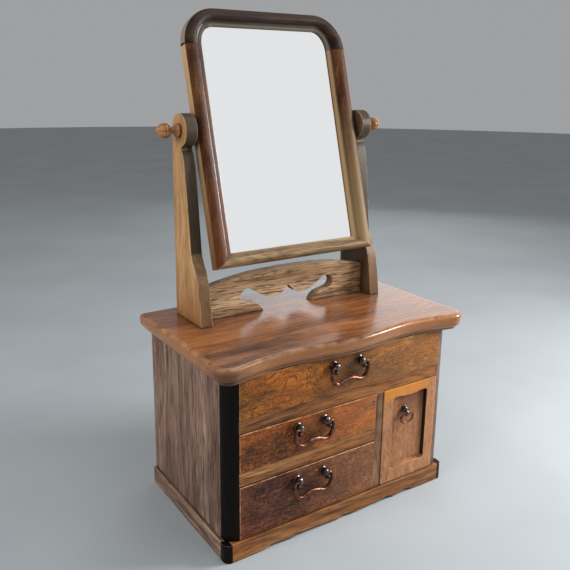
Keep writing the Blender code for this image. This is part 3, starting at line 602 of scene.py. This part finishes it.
def turned(profile, axis, place, steps=40):
    """A profile of (distance along the axis, radius) points, turned on a lathe and set in place."""
    aim = {"+X": Matrix.Rotation(math.radians(90), 4, "Y"), "-X": Matrix.Rotation(math.radians(-90), 4, "Y"),
           "-Y": Matrix.Rotation(math.radians(90), 4, "X")}[axis]
    bm = bmesh.new()
    points = [bm.verts.new((radius * MM, 0, along * MM)) for along, radius in profile]
    edges = [bm.edges.new(pair) for pair in zip(points, points[1:])]
    bmesh.ops.spin(bm, geom=points + edges, cent=(0, 0, 0), axis=(0, 0, 1), angle=math.tau, steps=steps,
                   use_merge=True)
    bmesh.ops.remove_doubles(bm, verts=bm.verts, dist=1e-6)
    bmesh.ops.recalc_face_normals(bm, faces=bm.faces)
    bmesh.ops.transform(bm, matrix=Matrix.Translation(place) @ aim, verts=bm.verts)
    return bm


knob_wood = wood("knob_wood", KNOB_BROWN, "X", shift=2.7, rings=0.3, ring_gap=3.0, pores=0.3, rough=0.22,
                 coat=0.4, relief=0.1, grime_and_shade=0.7)
outer_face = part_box("upright_right")[1].x
for side, sign in SIDES:
    seat = (sign * outer_face, PIVOT.y, PIVOT.z)
    bm = turned(KNOB, "-X" if sign < 0 else "+X", seat)
    fix("knob_turned_" + side, bm, knob_wood, "knob_" + side, "knob_wood", "knob_" + side)

# ---------------------------------------------------------------- drawers
# Each drawer is a figured front with a plain box behind it: two sides, a back and a thin bottom in
# softwood. The three wide fronts are mottled burl, painted lighter towards the right as painted light.
# The tall front is one thick board with a field carved into it, whose floor is polished and painted
# with shade towards its head, and whose right-hand wall is painted near black as shade.

BURL = {"top": ((48, 26, 10), (98, 60, 24), (146, 88, 32), (190, 120, 46)),
        "middle": ((50, 24, 10), (102, 56, 22), (152, 88, 36), (196, 128, 62)),
        "lower": ((38, 18, 12), (82, 44, 28), (126, 76, 50), (168, 116, 84))}
BURL_PATCH = {"top": (190, 108, 32), "middle": (188, 92, 32), "lower": (146, 74, 42)}
FIELD_TAN = ((108, 64, 36), (156, 104, 68), (188, 134, 94), (212, 162, 122))
FIELD_MIDDLE_Z, FIELD_HALF_WIDTH, FIELD_HALF_HEIGHT = 111.5 * MM, 36 * MM, 61.5 * MM
FIELD_DEPTH, FIELD_CORNER, FIELD_BOW = 7 * MM, 5 * MM, 2.6 * MM
BOARD_CORNER, SHADE_REACH = 1.2 * MM, 58 * MM
PAINTED_LIGHT_TAN, GILT_AND_LIGHT, SHADE_UMBER = (134, 92, 56), (196, 124, 42), (104, 58, 34)


def painted_light_right(add, place, base):
    """Painted light: the wide fronts are painted lighter towards the right, where the light and sheen fall."""
    across = add("SeparateXYZ", 0, Vector=place)
    share = remap(add, across, -0.10, 0.06, 0.0, 0.42)
    return blend_colours(add, "SCREEN", share, base, colour(*PAINTED_LIGHT_TAN))


# The wide fronts carry painted light, lighter towards the right.
for number, label in enumerate(("top", "middle", "lower")):
    node = "drawer_front_" + label
    burl_wood = wood("burl_" + label, BURL[label], "X", shift=1.1 + 2.3 * number, rings=0.62, dashes=0.5,
                     pores=0.35, burl=0.92, rough=0.38, relief=0.35, patch=BURL_PATCH[label],
                     worn=(214, 170, 118), wear=0.6, grime_and_shade=0.8, tint=painted_light_right)
    bm = soften(block(*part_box(node)), 1.3 * MM)
    fix(node + "_figured", bm, burl_wood, "drawer_" + label, "burl_wood", node)

node = "drawer_front_tall"
low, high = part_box(node)
field_middle = Vector(((low.x + high.x) / 2, 0, FIELD_MIDDLE_Z))
floor_y = low.y + FIELD_DEPTH


def rounded(half_width, low_z, high_z, radius, bow, middle):
    """A rounded rectangle with its upper and lower edges bowed in, as (x, z) points."""
    points = []
    half_height, centre_z = (high_z - low_z) / 2, (low_z + high_z) / 2
    for turn in range(4):
        along, across = (half_height, half_width) if turn % 2 else (half_width, half_height)
        bend = 0.0 if turn % 2 else bow
        edge = [(-along + radius + (2 * along - 2 * radius) * i / 16, across) for i in range(17)]
        edge = [(a, c - bend * math.cos(a / (along - radius) * math.pi / 2) ** 2) for a, c in edge]
        corner = [(along - radius + radius * math.sin(math.radians(15 * i)),
                   across - radius + radius * math.cos(math.radians(15 * i))) for i in range(1, 6)]
        for a, c in edge + corner:
            x, z = ((a, c), (c, -a), (-a, -c), (-c, a))[turn]
            points.append((middle + x, centre_z + z))
    return points


def carved_ring(grow, y):
    """The field's outline, grown by so much, at one depth."""
    low_z = FIELD_MIDDLE_Z - FIELD_HALF_HEIGHT - grow
    high_z = FIELD_MIDDLE_Z + FIELD_HALF_HEIGHT + grow
    edge = rounded(FIELD_HALF_WIDTH + grow, low_z, high_z, FIELD_CORNER + grow, FIELD_BOW, field_middle.x)
    return [(x, y, z) for x, z in edge]


def board_ring(shrink, y):
    """The board's own outline, drawn in by so much, at one depth."""
    half_width = (high.x - low.x) / 2 - shrink
    edge = rounded(half_width, low.z + shrink, high.z - shrink, BOARD_CORNER, 0, field_middle.x)
    return [(x, y, z) for x, z in edge]


def shaded_wall(spot):
    """Painted shade lies on the carved wall right of the middle, and stops short of the lower edge."""
    depth = (spot.y - low.y) / MM
    inside = abs(spot.x - field_middle.x) < FIELD_HALF_WIDTH + 0.2 * MM
    inside = inside and abs(spot.z - FIELD_MIDDLE_Z) < FIELD_HALF_HEIGHT + 0.2 * MM
    on_wall = 0.3 < depth < FIELD_DEPTH / MM - 0.2 and spot.z > FIELD_MIDDLE_Z - SHADE_REACH
    return 0.97 if inside and on_wall and spot.x > field_middle.x else 0.0


def carved_tones(add, place, base):
    """The margin is golden at its head, part worn polish and part painted light from above; the floor runs from
    red-brown down to tan, the red-brown painted shade towards its head, except on the left.
    """
    height = add("SeparateXYZ", 2, Vector=place)
    depth = add("SeparateXYZ", 1, Vector=place)
    across = add("SeparateXYZ", 0, Vector=place)
    sunk = remap(add, depth, low.y + 4 * MM, low.y + 6 * MM)
    margin = maths(add, "SUBTRACT", 1.0, sunk)
    waver = maths(add, "MULTIPLY", noise(add, place, 30.0, 3.0, 0.55, 1.0), 22 * MM)
    edge = maths(add, "ADD", height, waver)
    head = remap(add, edge, 176 * MM, 186 * MM, 0.0, 0.85)
    foot = remap(add, edge, 130 * MM, 165 * MM, 0.0, 0.7)
    drift = maths(add, "ADD", across, waver)
    kept = remap(add, drift, field_middle.x + 34 * MM, field_middle.x + 52 * MM, 1.0, 0.15)
    head = maths(add, "MULTIPLY", head, kept)
    # The head of the margin is painted golden: part worn polish, part painted light from above.
    gilt_and_light = blend_colours(add, "MIX", maths(add, "MULTIPLY", margin, head), base, colour(*GILT_AND_LIGHT))
    # Painted shade on the sunk floor and walls, towards the head, kept off the worn left part.
    rubbed = remap(add, drift, field_middle.x - 16 * MM, field_middle.x - 4 * MM)
    shade = maths(add, "MULTIPLY", maths(add, "MULTIPLY", sunk, foot), rubbed)
    return blend_colours(add, "MIX", shade, gilt_and_light, colour(*SHADE_UMBER))


field_wood = wood("field_wood", FIELD_TAN, "Z", shift=3.3, rings=0.26, burl=0.5, dashes=0.3, pores=0.35,
                  rough=0.38, dark=(24, 12, 8), tint=carved_tones)
RINGS = (board_ring(0, high.y), board_ring(0, low.y + 1.0 * MM), board_ring(0.3 * MM, low.y + 0.3 * MM),
         board_ring(1.0 * MM, low.y), board_ring(2.0 * MM, low.y), carved_ring(1.6 * MM, low.y),
         carved_ring(0.9 * MM, low.y), carved_ring(0.25 * MM, low.y + 0.25 * MM),
         carved_ring(0, low.y + 0.9 * MM),
         carved_ring(-0.2 * MM, floor_y - 1.6 * MM), carved_ring(-0.7 * MM, floor_y - 0.4 * MM),
         carved_ring(-1.6 * MM, floor_y), carved_ring(-3.0 * MM, floor_y))
# The right-hand wall of the field is painted near black as shade.
bm = paint(loft(RINGS), "dark", shaded_wall)
paint(bm, "worn", lambda spot: 1.0 if low.y + 0.1 * MM < spot.y < low.y + 0.6 * MM else 0.0)
fix(node + "_carved", bm, field_wood, "drawer_tall", "field_wood", node)
for label in ("top", "middle", "lower", "tall"):
    for part in ("side_{}_left", "side_{}_right", "back_{}", "bottom_{}"):
        node = "drawer_" + part.format(label)
        grain = pine_x if "back" in node else pine_y
        fix(node + "_board", soften(block(*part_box(node)), EDGE), grain, "drawer_" + label, "inner_wood", node)

# ---------------------------------------------------------------- pulls
# Cast bosses with a dark bronze skin, clenched through the fronts, and bails of copper wire with
# a bracken curl, sprung into the bosses' outer sides. The tall drawer has a small boss and a ring.

HINGE_OUT = 9.5 * MM
PIN, WIRE = 1.8 * MM, 3.1 * MM
BOSS = ((-18.4, 0), (-18, 3.2), (-16.3, 3.2), (-16.3, 2), (0.3, 2), (0.3, 6.5), (0.6, 6.9), (1.1, 6.9),
        (1.7, 6.1), (2.4, 5.4), (3.4, 5.9), (5.0, 6.3), (7.2, 6.3), (8.8, 5.9), (10.2, 5.0),
        (11.4, 3.6), (12.1, 1.9), (12.3, 0))
SMALL_BOSS = ((-11.4, 0), (-11, 3.2), (-9.3, 3.2), (-9.3, 1.6), (0.3, 1.6), (0.3, 5.2), (0.6, 5.6),
              (1.1, 5.5), (1.6, 4.7), (2.2, 4.5), (2.7, 4.9), (3.8, 5.0), (5.0, 4.6), (6.2, 3.6),
              (7.0, 2.2), (7.4, 1.0), (7.5, 0))
BAIL = ((26.1, 0), (29.7, 0), (31.9, -1.8), (32.6, -8), (32.2, -14), (29, -21), (23.5, -25.3), (17, -25.4),
        (8.5, -22.4), (0, -20.8))
CURL_AT, CURL_SIZE, CURL_REACH = (26.0, -7.2), (4.6, 3.0, 2.9, 1.0), 5.4 * MM
HOLLOWS, BLACKENED = (60, 46, 38), (56, 45, 38)


def metal(name, tones, rough, bump):
    """A metal with a mottled patina: darker and duller in the hollows, rubbed bright on the rest."""
    material, shader, add, link = new_finish(name)
    place = add("TexCoord", 3)
    patina = noise(add, place, 190.0, 4.0, 0.6)
    base = ramp(add, patina, [colour(*tone) for tone in tones], (0.32, 0.52, 0.74))
    open_sky = add("AmbientOcclusion", 1, {"samples": 4}, Distance=0.006)
    hollow_darkening = remap(add, open_sky, 0.3, 0.8, 0.85, 0.0)
    base = blend_colours(add, "MULTIPLY", hollow_darkening, base, colour(*HOLLOWS))
    base = blend_colours(add, "MIX", painted(add, "dark"), base, colour(*BLACKENED))
    link(base, shader.inputs["Base Color"])
    link(remap(add, patina, 0.3, 0.7, rough - 0.06, rough + 0.12), shader.inputs["Roughness"])
    link(add("Bump", Height=patina, Strength=bump, Distance=0.0005), shader.inputs["Normal"])
    shader.inputs["Metallic"].default_value = 1.0
    return material


def wire(points, radii, sides=14, closed=False):
    """A round wire along points that lie in one upright plane, thick as the radii say."""
    rings = []
    count = len(points)
    for i, (spot, radius) in enumerate(zip(points, radii)):
        before = points[(i - 1) % count if closed else max(0, i - 1)]
        after = points[(i + 1) % count if closed else min(count - 1, i + 1)]
        along = (after - before).normalized()
        out = Vector((0, -1, 0))
        across = along.cross(out)
        rings.append([spot + radius * (out * math.sin(a) + across * math.cos(a))
                      for a in (math.tau * k / sides for k in range(sides))])
    return loft(rings, closed=not closed)


def bail_radius(spot):
    """Thin where the bail turns in its bosses, full below, and a little fuller at the middle."""
    thin = PIN / WIRE
    if spot.y > -0.4:
        return WIRE * thin
    return WIRE * min(1.0 + 0.12 * math.exp(-(spot.x / 9) ** 2), thin + (1 - thin) * -spot.y / 9)


bronze = metal("bronze", ((52, 43, 38), (92, 82, 75), (146, 134, 126)), 0.25, 0.05)
copper = metal("copper", ((74, 42, 31), (118, 74, 57), (168, 118, 94)), 0.34, 0.04)
for label in ("top", "middle", "lower"):
    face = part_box("drawer_front_" + label)[0].y
    middles = []
    for side in ("left", "right"):
        node = "boss_{}_{}".format(label, side)
        low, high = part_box(node)
        middle = Vector(((low.x + high.x) / 2, face, (low.z + high.z) / 2))
        middles.append(middle)
        bm = turned(BOSS, "-Y", middle, 32)
        fix(node + "_turned", bm, bronze, "drawer_" + label, "bronze", node)
    hinge = (middles[0] + middles[1]) / 2 + Vector((0, -HINGE_OUT, 0))
    route = [(x, z) for x, z in BAIL] + [(-x, z) for x, z in reversed(BAIL[:-1])]
    curve = smooth_through(route, 6)
    spots = [hinge + Vector((p.x * MM, 0, p.y * MM)) for p in curve]
    node = "bail_" + label
    bm = wire(spots, [bail_radius(p) for p in curve])
    for side in (-1, 1):
        curl = hinge + Vector((side * CURL_AT[0], 0, CURL_AT[1])) * MM
        bmesh.ops.create_uvsphere(bm, u_segments=24, v_segments=14, radius=MM,
                                  matrix=Matrix.Translation(curl) @ Matrix.Diagonal(CURL_SIZE))

    def curled(spot):
        """The curls, both at one height, are almost black."""
        beside = abs(abs(spot.x - hinge.x) - CURL_AT[0] * MM) < CURL_REACH
        return 0.9 if beside and abs(spot.z - curl.z) < CURL_REACH else 0.0

    paint(bm, "dark", curled)
    fix(node + "_bent", bm, copper, label + "_bail", "copper", node)
low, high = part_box("boss_tall")
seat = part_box("drawer_front_tall")[0].y + FIELD_DEPTH
middle = Vector(((low.x + high.x) / 2, seat, (low.z + high.z) / 2))
bm = turned(SMALL_BOSS, "-Y", middle + Vector((0, 0, 4.0)) * MM, 28)
lobe = Matrix.Translation(middle + Vector((0, -7.6, -1.6)) * MM) @ Matrix.Diagonal((1.0, 0.8, 1.12, 1.0))
bmesh.ops.create_uvsphere(bm, u_segments=20, v_segments=12, radius=4.3 * MM, matrix=lobe)
fix("boss_tall_turned", bm, bronze, "drawer_tall", "bronze", "boss_tall")
low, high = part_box("ring_tall")
middle, reach = (low + high) / 2, (high - low) / 2
wire_radius = reach.y
spots = [middle + Vector(((reach.x - wire_radius) * math.sin(a), 0, (reach.z - wire_radius) * math.cos(a)))
         for a in (math.tau * i / 48 for i in range(48))]
bm = wire(spots, [wire_radius] * len(spots), closed=True)
fix("ring_tall_bent", bm, copper, "ring", "copper", "ring_tall")

# ---------------------------------------------------------------- floor, light and camera
# A pale seamless floor in an even grey room. Large white cards stand to the front right, where the
# mirror looks, and behind; softboxes hang above, to the right and to the left. None is in view.

FLOOR_RADIUS = 9.0
FLOOR_TONES = ((152, 158, 161), (161, 167, 170))
LENS, SHIFT = 43.606, (0.0193, -0.0509)
EYE = Vector((-0.5981, -0.8323, 0.6465))
AZIMUTH, ELEVATION, ROLL = (math.radians(a) for a in (-33.0519, 14.2818, 0.5203))
LAMP_AIM = Vector((0, 0, 0.35))
# Each lamp's place, its size, its power in watts, and whether polished surfaces reflect it.
LAMPS = {"mirror_card": ((1.25, -1.75, 1.05), (2.0, 2.0), 5.9, True),
         "key_softbox": ((1.25, -0.6, 0.85), (0.5, 0.5), 31.0, True),
         "top_softbox": ((0.35, -0.35, 1.9), (1.3, 0.8), 9.0, True),
         "back_card": ((1.75, 1.75, 0.85), (1.6, 0.8), 7.0, True),
         "left_softbox": ((-2.0, -0.4, 1.2), (1.4, 1.2), 34.0, False)}

bm = bmesh.new()
bmesh.ops.create_circle(bm, cap_ends=True, segments=128, radius=FLOOR_RADIUS)
mesh = bpy.data.meshes.new("floor")
bm.to_mesh(mesh)
bm.free()
floor = bpy.data.objects.new("floor", mesh)
bpy.context.scene.collection.objects.link(floor)
floor_finish, shader, add, link = new_finish("floor_finish")
speckle = noise(add, add("TexCoord", 3), 3.0, 3.0)
floor_colour = ramp(add, speckle, [colour(*tone) for tone in FLOOR_TONES], (0.3, 0.7))
link(floor_colour, shader.inputs["Base Color"])
shader.inputs["Roughness"].default_value = 0.75
mesh.materials.append(floor_finish)

world = bpy.data.worlds.new("room")
world.use_nodes = True
bpy.context.scene.world = world
background = world.node_tree.nodes["Background"]
background.inputs["Color"].default_value = (0.97, 0.98, 1.0, 1.0)
background.inputs["Strength"].default_value = 0.36

for name, (place, size, power, glossy) in LAMPS.items():
    lamp_data = bpy.data.lights.new(name, "AREA")
    lamp_data.shape = "RECTANGLE"
    lamp_data.size, lamp_data.size_y = size
    lamp_data.energy = power
    lamp = bpy.data.objects.new(name, lamp_data)
    bpy.context.scene.collection.objects.link(lamp)
    lamp.location = place
    lamp.rotation_euler = (LAMP_AIM - lamp.location).to_track_quat("-Z", "Y").to_euler()
    lamp.visible_camera = False
    lamp.visible_glossy = glossy

camera_data = bpy.data.cameras.new("camera")
camera_data.sensor_width = 36
camera_data.lens = LENS
camera_data.shift_x, camera_data.shift_y = SHIFT
camera = bpy.data.objects.new("camera", camera_data)
bpy.context.scene.collection.objects.link(camera)
back = Vector((math.sin(AZIMUTH) * math.cos(ELEVATION), -math.cos(AZIMUTH) * math.cos(ELEVATION),
               math.sin(ELEVATION)))
level = back.cross(Vector((0, 0, 1))).normalized() * -1
upwards = back.cross(level)
right_axis = level * math.cos(ROLL) + upwards * math.sin(ROLL)
up_axis = -level * math.sin(ROLL) + upwards * math.cos(ROLL)
camera.matrix_world = Matrix.Translation(EYE) @ Matrix((right_axis, up_axis, back)).transposed().to_4x4()
bpy.context.scene.camera = camera
bpy.context.scene.view_settings.view_transform = "Standard"
